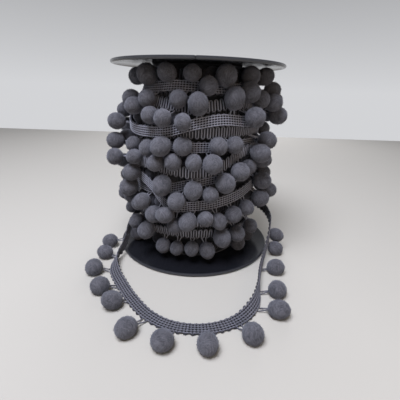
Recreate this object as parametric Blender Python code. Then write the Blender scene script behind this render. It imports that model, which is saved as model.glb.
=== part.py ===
"""Pompom fringe trim wound on a moulded plastic spool, with one length of the trim pulled loose.

The spool stands upright on its lower flange. The trim is a narrow crocheted tape with yarn balls
on short stalks along one edge. Its inner layers are one wound body, each outer turn is a ring of
tape that carries its own balls, and the loose length leaves the roll on the right, lies on the
surface in front, and climbs back to the roll on the left.

Frame: +Z up, origin on the spool's axis at its base, the loose length towards -Y. Units: metres.
"""

import math
import random
from typing import NamedTuple

import bmesh
import bpy
import numpy as np
from mathutils import Vector

MM = 0.001

# Spool
SPOOL_HEIGHT = 181 * MM
FLANGE_RADIUS = 80 * MM
FLANGE_THICK = 2.2 * MM
RIM_WIDTH = 2.0 * MM
RIM_HEIGHT = 3.0 * MM
RIM_ROUND = 0.5 * MM
HUB_GROOVE_INNER = 17 * MM
HUB_GROOVE_OUTER = 19 * MM
HUB_GROOVE_DEPTH = 0.8 * MM
CORE_RADIUS = 27 * MM
SLIT_WIDTH = 1.2 * MM
SLIT_DEPTH = 4 * MM
CUTTER_MARGIN = 5 * MM
FLANGE_STEPS = 48

# Trim
TAPE_WIDTH = 10.8 * MM
TAPE_THICK = 1.6 * MM
BALL_RADIUS = 7.4 * MM
BALL_SIZES = (0.93, 1.06)  # the balls' sizes differ: the least and the most, as shares of usual
BIG_BALL = 1.13
BALL_PITCH = 22.5 * MM
STALK_WIDTH = 1.8 * MM
STALK_LEAST = 4.2 * MM
GAP = 0.3 * MM
BED_GAP = 0.7 * MM
EDGE_GAP = 0.6 * MM

# The inner layers, as one lumpy wound body round the core
WOUND_STEPS = 36
WOUND_LEVELS = 22
LUMP_HEIGHT = 0.9 * MM
LUMPS_ROUND = (3, 2)  # waves round the roll
LUMP_RISES = (14 * MM, 19 * MM)  # the rise that turns each wave by one radian


class Level(NamedTuple):
    """The wound body's usual radius at one height."""

    height: float
    radius: float


WOUND_LEVEL_TABLE = (
    Level(3 * MM, 47 * MM),
    Level(16 * MM, 49 * MM),
    Level(31 * MM, 55 * MM),
    Level(45 * MM, 57 * MM),
    Level(63 * MM, 58 * MM),
    Level(80 * MM, 57 * MM),
    Level(92 * MM, 58 * MM),
    Level(104 * MM, 55 * MM),
    Level(114 * MM, 56 * MM),
    Level(125 * MM, 59 * MM),
    Level(136 * MM, 58 * MM),
    Level(146 * MM, 55 * MM),
    Level(157 * MM, 50 * MM),
    Level(165 * MM, 47 * MM),
    Level(178 * MM, 43 * MM),
)

# Azimuths, in degrees from the front (-Y) towards +X, where a turn's height is given
STATIONS = (-90, -60, -40, -20, 0, 20, 40, 60, 90, 180)


class Turn(NamedTuple):
    """One outer turn of the trim. Heights are in mm at STATIONS, azimuths in degrees."""

    name: str
    heights: tuple
    layer: int  # 0 lies on the wound body, 1 lies over the turns of layer 0
    slack: float  # how far the front hangs off the roll, in mm
    drop: float  # from the tape's middle down to the hung balls, in mm
    rise: float  # from the tape's middle up to the thrown balls, in mm
    hung: tuple  # azimuths of the front balls that hang below the tape
    thrown: tuple  # azimuths of the front balls that are thrown up above it
    over: tuple  # azimuths of the front balls that lie over the tape's face
    big: tuple  # those of all these azimuths where the ball is a big one
    back: str  # how the balls of the back half lie
    proud_left: float  # extra reach of the balls at the left side, in mm
    proud_right: float  # and at the right side


TURNS = (
    Turn("turn_01", (159, 159, 159.8, 161, 160.5, 159.7, 159.6, 159.6, 159.6, 160), 0, 0, 9, 8.5,
         (-60, -40, -10), (-66, -45, -24, -3, 24, 50, 73), (8, 45, 78), (-45, 24, 45), "thrown", 0, 9),
    Turn("turn_02", (147, 146, 148, 146.5, 143.8, 147, 148, 148, 147, 147), 0, 0, 8, 8,
         (-32, -19, -7, 42, 78), (), (-54, 69), (42, 78), "hung", 0, 8),
    Turn("turn_03", (131, 124, 124, 126, 132.4, 136, 134.5, 133, 132, 133), 1, 2, 9, 17.5,
         (), (3, 29, 60, 86), (-76,), (3, 29), "hung", 4, 8),
    Turn("turn_04", (121, 122, 123.5, 125, 125.3, 125.5, 126.5, 127, 121, 119), 0, 0, 9, 9,
         (-56, -36, -21, -8, 15, 27, 53, 78), (), (), (-21, 53), "hung", 4, 4),
    Turn("turn_05", (108, 110, 111.5, 113, 113, 113.5, 114.5, 114.5, 108.5, 105.5), 0, 0, 9, 9,
         (-51, -25, -12, 0, 12), (), (-77,), (), "hung", 12, 0),
    Turn("turn_06", (95.5, 96, 96, 94.4, 92.3, 96.5, 107.5, 111, 104, 92), 1, 3, 11, 9,
         (-54, -22, 1, 21, 36, 62, 76), (), (-72, 52), (-22, 21, 52), "hung", 12, 0),
    Turn("turn_07", (69.5, 71, 72, 76, 82, 86, 84.5, 89, 89, 78.5), 0, 0, 9, 7,
         (-62, -44, -10, 12, 62), (46,), (), (62,), "hung", 0, 0),
    Turn("turn_08", (82.5, 83, 78, 61, 62.8, 65.5, 69.5, 75, 75.4, 64.5), 1, 2, 12.5, 9,
         (-58, -26, -14, 0, 17, 30, 45, 61, 79), (), (), (-58, 61), "hung", 0, 6),
    Turn("turn_09", (47, 46, 45, 44.5, 44.5, 44.5, 44.5, 46, 48, 49.5), 0, 0, 14, 8,
         (-60, -42, 24, 40, 61), (-74, -48, -25, 8), (), (-42, 24), "hung", 4, 6),
    Turn("turn_10", (27, 27, 29.2, 31.6, 31.8, 31.3, 28, 28, 29, 31), 0, 0, 14.5, 9,
         (-76, -28, -13, 0, 11, 50, 74), (), (), (-76,), "hung", 6, 0),
)
BACK_JITTER = 2.5  # degrees
DROP_JITTER = 1.2 * MM
SIDE_FROM, SIDE_TO = 58, 100  # azimuths between which side balls stand proud, in degrees
BED_MARGIN = 3 * MM  # how far past its edges an upper tape feels the roll under it
BED_SAMPLES = 7
BIND_STEP = 10  # the widest step between two sections of a turn, in degrees
ROOT_STEP = 1.0  # half the angle that a stalk's root takes of a turn, in degrees


class Lay(NamedTuple):
    """A place on the loose length: x and y of the tape's middle, the height of its lowest
    corner, all in mm, and the lean of its face from standing (0) to lying flat (90)."""

    x: float
    y: float
    foot: float
    lean: float


LOOSE_LENGTH = (
    Lay(60, 16, 38, 0),
    Lay(67, 3, 38, 0),
    Lay(75, -9, 35.5, 0),
    Lay(78.5, -21, 30, 2),
    Lay(76.5, -33, 20, 4),
    Lay(72.5, -44, 9, 6),
    Lay(68.5, -54, 2.5, 6),
    Lay(65, -65, 0, 5),
    Lay(61, -80, 0, 6),
    Lay(57.5, -98, 0, 14),
    Lay(52, -116, 0, 45),
    Lay(40, -131, 0, 75),
    Lay(22, -140.5, 0, 84),
    Lay(4, -143, 0, 86),
    Lay(-13, -140, 0, 86),
    Lay(-29, -131, 0, 84),
    Lay(-44, -115, 0, 82),
    Lay(-58.5, -94.5, 0, 80),
    Lay(-68, -79, 0, 64),
    Lay(-72, -67, 0.3, 40),
    Lay(-71.5, -57, 1.5, 16),
    Lay(-69.5, -48, 3.5, 0),
    Lay(-68, -38, 8, -7),
    Lay(-67.5, -25, 16, -6),
    Lay(-65, -10, 22, 0),
    Lay(-61, 4, 26, 0),
    Lay(-58.5, 17, 28, 0),
)


class Lie(NamedTuple):
    """Where a ball of the loose length lies: x, y and its centre's height in mm. The height is
    0 where the ball rests on the surface."""

    x: float
    y: float
    height: float


LOOSE_BALLS = (
    Lie(86.5, -24, 17.5),
    Lie(85, -33, 0),
    Lie(78, -68, 0),
    Lie(72.5, -101, 0),
    Lie(68.5, -125, 0),
    Lie(45.5, -150, 0),
    Lie(15, -160, 0),
    Lie(-14.5, -158.5, 0),
    Lie(-40.5, -149, 0),
    Lie(-58, -122, 0),
    Lie(-73, -105, 0),
    Lie(-87, -79, 0),
    Lie(-85.5, -52, 0),
    Lie(-87.5, -29, 0),
)
ROUTE_SAMPLES = 400
LOOSE_STEP = 6 * MM
EDGE_STRIP = 1.6 * MM
EDGE_STEP = 5 * MM
LIFT = 0.15 * MM  # keeps the twisted stretches off the surface
STRIP_END = 10 * MM
STRIP_BALLS = (4, 3, 3, 4)


class Material(NamedTuple):
    """A surface for the solids."""

    name: str
    colour: tuple
    roughness: float


TRIM_YARN = Material("grey trim yarn", (0.13, 0.13, 0.15, 1), 0.95)
BALL_YARN = Material("grey pompom yarn", (0.11, 0.11, 0.125, 1), 1.0)
SPOOL_PLASTIC = Material("black spool plastic", (0.012, 0.013, 0.018, 1), 0.35)


def surface(spec):
    """The Principled BSDF material of a Material, made once."""
    found = bpy.data.materials.get(spec.name)
    if found:
        return found
    made = bpy.data.materials.new(spec.name)
    made.use_nodes = True
    shader = made.node_tree.nodes["Principled BSDF"]
    shader.inputs["Base Color"].default_value = spec.colour
    shader.inputs["Roughness"].default_value = spec.roughness
    shader.inputs["Metallic"].default_value = 0
    return made


def add_object(name, points, faces, spec):
    """One closed mesh as a named object."""
    mesh = bpy.data.meshes.new(name)
    mesh.from_pydata([tuple(p) for p in points], [], faces)
    work = bmesh.new()
    work.from_mesh(mesh)
    bmesh.ops.recalc_face_normals(work, faces=work.faces)
    if work.calc_volume(signed=True) < 0:
        bmesh.ops.reverse_faces(work, faces=work.faces)
    work.to_mesh(mesh)
    work.free()
    mesh.materials.append(surface(spec))
    thing = bpy.data.objects.new(name, mesh)
    bpy.context.scene.collection.objects.link(thing)
    return thing


def smooth_through(keys, values, at, period=None):
    """A curve through values at keys, read at each place in at: cubic pieces with mean slopes."""
    keys, values = np.array(keys, float), np.array(values, float)
    if period:
        keys = np.concatenate([keys - period, keys, keys + period])
        values = np.concatenate([values] * 3)
        at = (np.asarray(at, float) - keys[0]) % period + keys[0] + period
    at = np.asarray(at, float)
    slopes = np.gradient(values, keys)
    left = np.clip(np.searchsorted(keys, at) - 1, 0, len(keys) - 2)
    span = keys[left + 1] - keys[left]
    t = np.clip((at - keys[left]) / span, 0, 1)
    rise = values[left + 1] - values[left]
    start, end = slopes[left] * span, slopes[left + 1] * span
    bent = t * (1 - t) * ((start - rise) * (1 - t) - (end - rise) * t)
    return values[left] + rise * t + bent


def on_circle(azimuth, radius, height):
    """The point at an azimuth in degrees, 0 at the front (-Y) and 90 at +X."""
    a = math.radians(azimuth)
    return np.array([radius * math.sin(a), -radius * math.cos(a), height])


# The spool


def turned(profile, steps):
    """Points and faces of a closed profile of (radius, height) turned about Z. The profile
    starts and ends on the axis."""
    points, faces, rows = [], [], []
    for radius, height in profile:
        if radius == 0:
            rows.append([len(points)] * steps)
            points.append((0, 0, height))
            continue
        rows.append(list(range(len(points), len(points) + steps)))
        for i in range(steps):
            points.append(on_circle(360 * i / steps, radius, height))
    for low, high in zip(rows, rows[1:]):
        for i in range(steps):
            j = (i + 1) % steps
            ring = [low[i], low[j], high[j], high[i]]
            faces.append(list(dict.fromkeys(ring)))
    return points, faces


def flange(name, base, facing, hub):
    """A flange disc with a rim bead on its inner side. base is the height of its outer face,
    facing is 1 where its inner side looks up, and hub is the outline of its outer face's middle."""
    profile = (
        (0, 0),
        *hub,
        (FLANGE_RADIUS - RIM_ROUND, 0),
        (FLANGE_RADIUS, RIM_ROUND),
        (FLANGE_RADIUS, RIM_HEIGHT - RIM_ROUND),
        (FLANGE_RADIUS - RIM_ROUND, RIM_HEIGHT),
        (FLANGE_RADIUS - RIM_WIDTH, FLANGE_THICK),
        (0, FLANGE_THICK),
    )
    placed = [(radius, base + facing * height) for radius, height in profile]
    points, faces = turned(placed, FLANGE_STEPS)
    return add_object(name, points, faces, SPOOL_PLASTIC)


def cut_end_slit(disc):
    """The slit in the upper flange's rim that catches the trim's end."""
    half = SLIT_WIDTH / 2
    low, high = SPOOL_HEIGHT - 2 * CUTTER_MARGIN, SPOOL_HEIGHT + CUTTER_MARGIN
    near, far = -FLANGE_RADIUS + SLIT_DEPTH, -FLANGE_RADIUS - CUTTER_MARGIN
    corners = [(x, y, z) for x in (-half, half) for y in (near, far) for z in (low, high)]
    sides = [(0, 1, 3, 2), (4, 6, 7, 5), (0, 4, 5, 1), (2, 3, 7, 6), (0, 2, 6, 4), (1, 5, 7, 3)]
    cutter = add_object("end_slit_cutter", corners, sides, SPOOL_PLASTIC)
    cutter.hide_render = True
    cutter.display_type = "WIRE"
    cut = disc.modifiers.new("end slit", "BOOLEAN")
    cut.operation = "DIFFERENCE"
    cut.object = cutter


def build_spool():
    """Two flanges and the core between them."""
    groove = (
        (HUB_GROOVE_INNER, 0),
        (HUB_GROOVE_INNER, HUB_GROOVE_DEPTH),
        (HUB_GROOVE_OUTER, HUB_GROOVE_DEPTH),
        (HUB_GROOVE_OUTER, 0),
    )
    flange("spool_base", 0, 1, ())
    top = flange("spool_top", SPOOL_HEIGHT, -1, groove)
    cut_end_slit(top)
    low, high = FLANGE_THICK + GAP, SPOOL_HEIGHT - FLANGE_THICK - GAP
    profile = ((0, low), (CORE_RADIUS, low), (CORE_RADIUS, high), (0, high))
    points, faces = turned(profile, WOUND_STEPS)
    add_object("spool_core", points, faces, SPOOL_PLASTIC)


# The wound body


def wound_radius(azimuth, height):
    """The wound body's radius at an azimuth in degrees and a height."""
    usual = smooth_through(
        [level.height for level in WOUND_LEVEL_TABLE],
        [level.radius for level in WOUND_LEVEL_TABLE],
        height,
    )
    a = np.radians(azimuth)
    rising = np.sin(LUMPS_ROUND[0] * a + height / LUMP_RISES[0])
    falling = np.cos(LUMPS_ROUND[1] * a - height / LUMP_RISES[1])
    return usual + LUMP_HEIGHT * rising * falling


def build_wound_body():
    """The inner layers as one ring-shaped solid round the core."""
    inner = CORE_RADIUS + GAP
    low, high = FLANGE_THICK + GAP, SPOOL_HEIGHT - FLANGE_THICK - GAP
    points, faces, rows = [], [], []
    for i in range(WOUND_LEVELS):
        height = low + (high - low) * i / (WOUND_LEVELS - 1)
        rows.append(range(len(points), len(points) + WOUND_STEPS))
        for j in range(WOUND_STEPS):
            azimuth = 360 * j / WOUND_STEPS
            points.append(on_circle(azimuth, float(wound_radius(azimuth, height)), height))
    for height in (high, low):
        rows.append(range(len(points), len(points) + WOUND_STEPS))
        for j in range(WOUND_STEPS):
            points.append(on_circle(360 * j / WOUND_STEPS, inner, height))
    for low_row, high_row in zip(rows, rows[1:] + rows[:1]):
        for j in range(WOUND_STEPS):
            k = (j + 1) % WOUND_STEPS
            faces.append((low_row[j], low_row[k], high_row[k], high_row[j]))
    add_object("wound_body", points, faces, TRIM_YARN)


# The tape of each turn


def turn_height(turn, azimuth):
    """The height of the tape's middle."""
    return smooth_through(STATIONS, turn.heights, azimuth, period=360) * MM


def slack_at(turn, azimuth):
    """How far the tape hangs off the roll: all of the turn's slack in front, none behind."""
    a = (np.asarray(azimuth, float) + 180) % 360 - 180
    return turn.slack * MM * np.sqrt(np.clip(np.cos(np.radians(a)), 0, 1))


def tape_edges(turn, azimuth):
    """(radius, height) of the middle of the tape's lower edge and of its upper edge."""
    middle = turn_height(turn, azimuth)
    half = TAPE_WIDTH / 2
    margin = BED_MARGIN * turn.layer
    across = np.linspace(-half - margin, half + margin, BED_SAMPLES)
    under = np.array([wound_radius(azimuth, middle + s) for s in across])
    slope = (under[-1] - under[0]) / (across[-1] - across[0])
    chord = (under[0] + under[-1]) / 2
    bulge = (under - (chord + slope * across)).max()
    lifted = turn.layer * (TAPE_THICK + BED_GAP) + slack_at(turn, azimuth)
    centre = chord + bulge + BED_GAP + TAPE_THICK / 2 + lifted
    return (
        (float(centre - slope * half), float(middle - half)),
        (float(centre + slope * half), float(middle + half)),
    )


def tape_corners(turn, azimuth):
    """Inner and outer corner of the lower edge, then outer and inner corner of the upper."""
    (low_radius, low), (high_radius, high) = tape_edges(turn, azimuth)
    half = TAPE_THICK / 2
    return [
        on_circle(azimuth, low_radius - half, low),
        on_circle(azimuth, low_radius + half, low),
        on_circle(azimuth, high_radius + half, high),
        on_circle(azimuth, high_radius - half, high),
    ]


# The balls of the turns


class Ball:
    """A yarn ball of a turn: the azimuth where its stalk starts, the stalk's root, the ball's
    centre and its radius. side is -1 for a stalk on the tape's lower edge, 1 for one on its upper
    edge, and 0 for one on its outer face."""

    def __init__(self, turn, azimuth, side, centre, radius):
        self.azimuth = azimuth
        self.side = side
        self.centre = np.array(centre)
        self.radius = radius
        low, high = (on_circle(azimuth, *edge) for edge in tape_edges(turn, azimuth))
        outward = on_circle(azimuth, TAPE_THICK / 2, 0)
        self.root = {-1: low, 0: (low + high) / 2 + outward, 1: high}[side]


def proud_at(turn, azimuth):
    """How much further out a side ball stands."""
    a = (azimuth + 180) % 360 - 180
    inside = (abs(a) - SIDE_FROM) / (SIDE_TO - SIDE_FROM)
    reach = turn.proud_right if a > 0 else turn.proud_left
    return reach * MM * max(0.0, math.sin(math.pi * min(max(inside, 0), 1)))


def ball_of(turn, azimuth, side, rng):
    """A ball near its turn's usual drop or rise, lying on the roll or on the tape's face."""
    share = BIG_BALL if azimuth in turn.big else rng.uniform(*BALL_SIZES)
    radius = BALL_RADIUS * share
    shift = {-1: -turn.drop, 0: 0, 1: turn.rise}[side] * MM + rng.uniform(-DROP_JITTER, DROP_JITTER)
    lowest = FLANGE_THICK + radius + BED_GAP
    height = float(turn_height(turn, azimuth)) + shift
    height = min(max(height, lowest), SPOOL_HEIGHT - lowest)
    layers = turn.layer + (2 if side == 0 else 1)
    bed = float(wound_radius(azimuth, height)) + layers * TAPE_THICK
    reach = bed + 2 * BED_GAP + radius + proud_at(turn, azimuth)
    return Ball(turn, azimuth, side, on_circle(azimuth, reach, height), radius)


def covered(turn, azimuth, side, sections):
    """Whether another turn's tape, or an end of the loose length, lies over a stalk's root."""
    height = float(turn_height(turn, azimuth)) + side * TAPE_WIDTH / 2
    reach = TAPE_WIDTH / 2 + STALK_WIDTH
    for other in TURNS:
        if other.layer > turn.layer and abs(turn_height(other, azimuth) - height) < reach:
            return True
    root = on_circle(azimuth, tape_edges(turn, azimuth)[0][0], height)
    apart = np.array([section.middle for section in sections]) - root
    beside = np.hypot(apart[:, 0], apart[:, 1]) < LOOSE_STEP + 3 * STALK_WIDTH
    return bool((beside & (np.abs(apart[:, 2]) < reach)).any())


def balls_of_turn(turn, sections, rng):
    """The front balls where the table says, and the back ones a pitch apart."""
    sides = ((turn.hung, -1), (turn.thrown, 1), (turn.over, 0))
    front = sorted((azimuth, side) for azimuths, side in sides for azimuth in azimuths)
    last, first = front[-1][0], front[0][0] + 360
    radius = tape_edges(turn, 180)[0][0] + BALL_RADIUS
    pitch = math.degrees(BALL_PITCH / radius)
    start, end = max(last, 90 - pitch), min(first, 270 + pitch)
    count = max(1, round((end - start) / pitch))
    side = 1 if turn.back == "thrown" else -1
    made = [ball_of(turn, azimuth, which, rng) for azimuth, which in front]
    for i in range(1, count):
        azimuth = start + (end - start) * i / count + rng.uniform(-BACK_JITTER, BACK_JITTER)
        if not covered(turn, azimuth, side, sections):
            made.append(ball_of(turn, azimuth, side, rng))
    return made


CLOUD_STEP = 3  # degrees
CLOUD_MARKS = (-0.5, -0.25, 0, 0.25, 0.5)  # shares of the tape's width, from its middle


def tape_cloud(turn):
    """Points spread over a turn's tape, which balls keep clear of."""
    cloud = []
    for azimuth in range(0, 360, CLOUD_STEP):
        low, high = (on_circle(azimuth, *edge) for edge in tape_edges(turn, azimuth))
        cloud += [(low + high) / 2 + (high - low) * mark for mark in CLOUD_MARKS]
    return cloud


def push_apart(points, others, least, share):
    """Moves points away from any of others that is nearer than least. others is one row of
    places for all points, or one for each, and so is least."""
    apart = points[:, None, :] - others
    far = np.linalg.norm(apart, axis=2)
    short = np.clip(least - far, 0, None)
    worst = short.argmax(axis=1)
    rows = np.arange(len(points))
    away = apart[rows, worst] / np.maximum(far[rows, worst], 1e-9)[:, None]
    points += away * (short[rows, worst] * share)[:, None]


SETTLE_ROUNDS = 240
HOMING_ROUNDS = 96  # the first rounds also draw each ball back to where it started
HOMING_SHARE = 0.04
BALL_CLEAR = 0.7 * MM
STALK_CLEAR = 0.8 * MM
TAPE_CLEAR = 1.1 * MM
ROOT_CLEAR = 2.0 * MM
STALK_MARKS = (0.2, 0.4, 0.6)  # where along its length a stalk pushes other balls away
BALL_PUSH = 0.5  # the share of a gap that one round closes: two balls share it between them
STALK_PUSH = 0.6
FULL_PUSH = 1.0


def settle(balls, cloud):
    """Moves the balls clear of each other, of the tapes, of other balls' stalks and of the
    spool, as near to where they started as they can stay."""
    home = np.array([ball.centre for ball in balls])
    roots = np.array([ball.root for ball in balls])
    sides = np.array([ball.side for ball in balls])
    radii = np.array([ball.radius for ball in balls])
    points = home.copy()
    cloud = np.array(cloud)
    lowest = FLANGE_THICK + radii + BED_GAP
    itself = np.eye(len(balls), dtype=bool)[:, :, None]
    far_off = 1.0
    for i in range(SETTLE_ROUNDS):
        if i < HOMING_ROUNDS:
            points += (home - points) * HOMING_SHARE
        others = np.where(itself, far_off, points[None, :, :])
        push_apart(points, others, radii[:, None] + radii[None, :] + BALL_CLEAR, BALL_PUSH)
        for mark in STALK_MARKS:
            stalks = np.where(itself, far_off, (roots + (points - roots) * mark)[None, :, :])
            clear = radii + STALK_WIDTH / 2 + STALK_CLEAR
            push_apart(points, stalks, clear[:, None], STALK_PUSH)
        clear = radii + TAPE_THICK / 2 + TAPE_CLEAR
        push_apart(points, cloud[None, :, :], clear[:, None], FULL_PUSH)
        push_apart(points, roots[:, None, :], (radii + ROOT_CLEAR)[:, None], FULL_PUSH)
        azimuths = np.degrees(np.arctan2(points[:, 0], -points[:, 1]))
        reach = np.hypot(points[:, 0], points[:, 1])
        bed = wound_radius(azimuths, points[:, 2]) + radii + BED_GAP
        points[:, :2] *= (np.maximum(reach, bed) / reach)[:, None]
        beyond = sides * (points[:, 2] - roots[:, 2])
        points[:, 2] += sides * np.clip(STALK_LEAST - beyond, 0, None)
        points[:, 2] = np.clip(points[:, 2], lowest, SPOOL_HEIGHT - lowest)
    for ball, point in zip(balls, points):
        ball.centre = point


STALK_SIDES = 4
BALL_SIDES = 6
BALL_RINGS = (135, 90, 45)  # degrees from the far pole
NECK_POLAR = 9  # degrees from the near pole, where the stalk meets the ball


def frame_about(axis):
    """Two directions square to an axis and to each other."""
    axis = Vector(axis).normalized()
    helper = Vector((0, 0, 1)) if abs(axis.z) < 0.8 else Vector((0, 1, 0))
    first = axis.cross(helper).normalized()
    return np.array(first), np.array(axis.cross(first))


def matched(points, near, far):
    """The far loop turned and started so that it lies best against the near one."""
    near_places = np.array([points[k] for k in near])
    steps = [round(i * len(far) / len(near)) % len(far) for i in range(len(near))]
    best, least = None, math.inf
    for loop in (list(far), list(far)[::-1]):
        for start in range(len(loop)):
            turned_loop = loop[start:] + loop[:start]
            places = np.array([points[turned_loop[k]] for k in steps])
            cost = np.linalg.norm(places - near_places, axis=1).sum()
            if cost < least:
                best, least = turned_loop, cost
    return best


def bridge(points, faces, near, far):
    """Triangles between two loops of point indices."""
    far = matched(points, near, far)
    i = j = 0
    while i < len(near) or j < len(far):
        a, b = near[i % len(near)], far[j % len(far)]
        if (i + 1) / len(near) <= (j + 1) / len(far):
            i += 1
            faces.append((a, near[i % len(near)], b))
        else:
            j += 1
            faces.append((a, far[j % len(far)], b))


def ring_points(middle, axis, radius, count, start=0.0):
    """Points of a regular ring square to an axis."""
    first, second = frame_about(axis)
    angles = [math.radians(start + 360 * i / count) for i in range(count)]
    return [middle + (first * math.cos(a) + second * math.sin(a)) * radius for a in angles]


def grow_ball(points, faces, root_loop, root, centre, radius):
    """A four-sided stalk from the four points of root_loop to a ball."""
    axis = centre - root
    axis = axis / np.linalg.norm(axis)
    loops = [list(root_loop)]

    def add_loop(new_points):
        loops.append(list(range(len(points), len(points) + len(new_points))))
        points.extend(new_points)

    neck = centre - axis * radius * math.cos(math.radians(NECK_POLAR))
    width = radius * math.sin(math.radians(NECK_POLAR))
    add_loop(ring_points(neck, axis, width, STALK_SIDES, 45))
    for polar in BALL_RINGS:
        middle = centre + axis * math.cos(math.radians(polar)) * radius
        add_loop(ring_points(middle, axis, radius * math.sin(math.radians(polar)), BALL_SIDES))
    for low, high in zip(loops, loops[1:]):
        bridge(points, faces, low, high)
    pole = len(points)
    points.append(centre + axis * radius)
    last = loops[-1]
    for i in range(BALL_SIDES):
        faces.append((last[i], last[(i + 1) % BALL_SIDES], pole))


def ring_azimuths(balls):
    """Azimuths of a turn's sections: two at each stalk's root, and others between."""
    roots = sorted(ball.azimuth % 360 for ball in balls)
    marks = []
    for here, after in zip(roots, roots[1:] + [roots[0] + 360]):
        marks += [here - ROOT_STEP, here + ROOT_STEP]
        start, end = here + ROOT_STEP, after - ROOT_STEP
        count = math.ceil((end - start) / BIND_STEP)
        marks += [start + (end - start) * k / count for k in range(1, count)]
    return marks


def build_turn(turn, balls):
    """A closed ring of tape with its balls grown from its edges or its outer face."""
    points, faces = [], []
    azimuths = ring_azimuths(balls)
    for azimuth in azimuths:
        points += tape_corners(turn, azimuth)
    count = len(azimuths)
    by_root = {round((ball.azimuth - ROOT_STEP) % 360, 4): ball for ball in balls}
    for i, azimuth in enumerate(azimuths):
        here, there = 4 * i, 4 * ((i + 1) % count)
        ball = by_root.get(round(azimuth % 360, 4))
        for a in range(4):
            b = (a + 1) % 4
            quad = (here + a, here + b, there + b, there + a)
            if ball and a == ball.side + 1:
                grow_ball(points, faces, quad, ball.root, ball.centre, ball.radius)
            else:
                faces.append(quad)
    add_object(turn.name, points, faces, TRIM_YARN)


# The loose length


class Section(NamedTuple):
    """One section of the loose length: its middle, the way to the ball edge, its face."""

    middle: np.ndarray
    across: np.ndarray
    face: np.ndarray


def loose_route():
    """Even steps along the loose length's middle, as rows of x, y, foot and lean."""
    table = np.array(LOOSE_LENGTH) * (MM, MM, MM, 1)
    legs = np.linalg.norm(np.diff(table[:, :3], axis=0), axis=1)
    keys = np.concatenate([[0], np.cumsum(legs)])
    fine = np.linspace(0, keys[-1], ROUTE_SAMPLES)
    rows = np.stack([smooth_through(keys, table[:, k], fine) for k in range(4)], axis=1)
    rows[:, 2] = np.maximum(rows[:, 2], LIFT)
    legs = np.linalg.norm(np.diff(rows[:, :3], axis=0), axis=1)
    along = np.concatenate([[0], np.cumsum(legs)])
    at = np.linspace(0, along[-1], round(along[-1] / LOOSE_STEP) + 1)
    return np.stack([np.interp(at, along, rows[:, k]) for k in range(4)], axis=1), at


def outward_of(tangent):
    """The level direction square to the loose length that points away from the spool."""
    outward = np.array([-tangent[1], tangent[0], 0])
    return outward / np.linalg.norm(outward)


def loose_sections():
    """Sections along the loose length, each set so that its lowest corner is at its foot."""
    rows, along = loose_route()
    tangents = np.gradient(rows[:, :3], along, axis=0)
    made = []
    for row, tangent in zip(rows, tangents):
        tangent = tangent / np.linalg.norm(tangent)
        outward = outward_of(tangent)
        lean = math.radians(row[3])
        face = math.cos(lean) * outward + math.sin(lean) * np.array([0, 0, 1])
        face = face - tangent * (face @ tangent)
        face = face / np.linalg.norm(face)
        across = np.cross(face, tangent)
        low = abs(across[2]) * TAPE_WIDTH / 2 + abs(face[2]) * TAPE_THICK / 2
        made.append(Section(np.array([row[0], row[1], row[2] + low]), across, face))
    return made, along


def strip_of(sections, start, end):
    """Corners of a band between two distances across each section."""
    half = TAPE_THICK / 2
    points = []
    for section in sections:
        for across, face in ((start, -half), (start, half), (end, half), (end, -half)):
            points.append(section.middle + section.across * across + section.face * face)
    return points


def band_faces(count, skip=()):
    """Faces of an open band of count four-cornered sections, with its two ends closed."""
    faces = [(0, 1, 2, 3), tuple(4 * (count - 1) + k for k in range(4))]
    for i in range(count - 1):
        for a in range(4):
            b = (a + 1) % 4
            if (i, a) not in skip:
                faces.append((4 * i + a, 4 * i + b, 4 * i + 4 + b, 4 * i + 4 + a))
    return faces


def section_at(sections, along, place):
    """The section between two others."""
    i = int(np.clip(np.searchsorted(along, place) - 1, 0, len(along) - 2))
    t = (place - along[i]) / (along[i + 1] - along[i])
    low, high = sections[i], sections[i + 1]
    across = low.across * (1 - t) + high.across * t
    face = low.face * (1 - t) + high.face * t
    return Section(
        low.middle * (1 - t) + high.middle * t,
        across / np.linalg.norm(across),
        face / np.linalg.norm(face),
    )


REST_ROUNDS = 8


def rest_on_floor(root, centre):
    """The ball's centre at the height where its lowest corner just meets the surface."""
    for _ in range(REST_ROUNDS):
        points, faces = [np.array(root)] * STALK_SIDES, []
        grow_ball(points, faces, range(STALK_SIDES), root, centre, BALL_RADIUS)
        lowest = min(point[2] for point in points[2 * STALK_SIDES:])
        centre = centre - np.array([0, 0, lowest])
    return centre


class LooseBall(NamedTuple):
    """A ball of the loose length: its place along it, its stalk's root, its centre, and whether
    it rests on the surface."""

    place: float
    root: np.ndarray
    centre: np.ndarray
    rests: bool


def loose_balls(sections, along):
    """The loose length's balls, each rooted where its ball edge comes nearest to it."""
    edge = TAPE_WIDTH / 2 - EDGE_STRIP / 2
    places = np.arange(0, along[-1], MM)
    choices = [section_at(sections, along, place) for place in places]
    roots = np.array([section.middle + section.across * edge for section in choices])
    made = []
    for lie in LOOSE_BALLS:
        rests = lie.height == 0
        centre = np.array([lie.x, lie.y, BALL_RADIUS / MM if rests else lie.height]) * MM
        nearest = int(np.linalg.norm(roots - centre, axis=1).argmin())
        made.append(LooseBall(places[nearest], roots[nearest], centre, rests))
    return made


def build_loose_length():
    """The tape of the loose length, and its ball edge as four strips with their balls."""
    sections, along = loose_sections()
    half = TAPE_WIDTH / 2
    body = strip_of(sections, -half, half - EDGE_STRIP - EDGE_GAP)
    add_object("loose_tape", body, band_faces(len(sections)), TRIM_YARN)
    balls = loose_balls(sections, along)
    halfway = [(a.place + b.place) / 2 for a, b in zip(balls, balls[1:])]
    bounds = [balls[0].place - STRIP_END, *halfway, balls[-1].place + STRIP_END]
    first = 0
    for number, count in enumerate(STRIP_BALLS, 1):
        last = first + count
        build_edge_strip(
            f"loose_edge_{number}", sections, along, balls[first:last], bounds[first:last + 1]
        )
        first = last


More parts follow.
